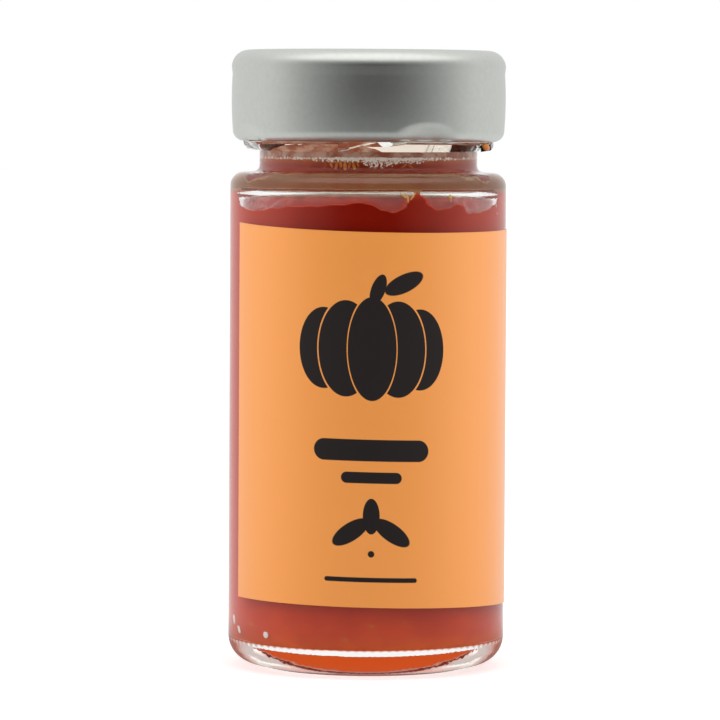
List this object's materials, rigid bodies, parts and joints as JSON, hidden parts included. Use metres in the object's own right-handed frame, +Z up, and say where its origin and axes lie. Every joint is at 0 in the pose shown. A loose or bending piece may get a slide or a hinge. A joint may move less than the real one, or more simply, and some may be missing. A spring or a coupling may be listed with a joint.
{
  "type": "jar of pumpkin jam",
  "caption": "Straight clear glass jar of red-brown pumpkin jam with a deep satin metal twist-off lid and an orange wrap-around paper label with plain printed shapes.",
  "frame": {"origin": "middle of the base, on the surface that the jar stands on", "axes": "+Z up along the jar's axis, towards the lid; the front of the label faces -Y"},
  "size_m": [0.0602, 0.0604, 0.1338],
  "materials": {
    "glass": "clear polished",
    "lid": "satin silver lacquer on tin plate",
    "jam": "wet translucent jam",
    "label": "matt uncoated paper"
  },
  "bodies": {
    "root": {"jar_glass": "glass", "lid": "lid", "jam": "jam", "label": "label"}
  },
  "joints": []
}
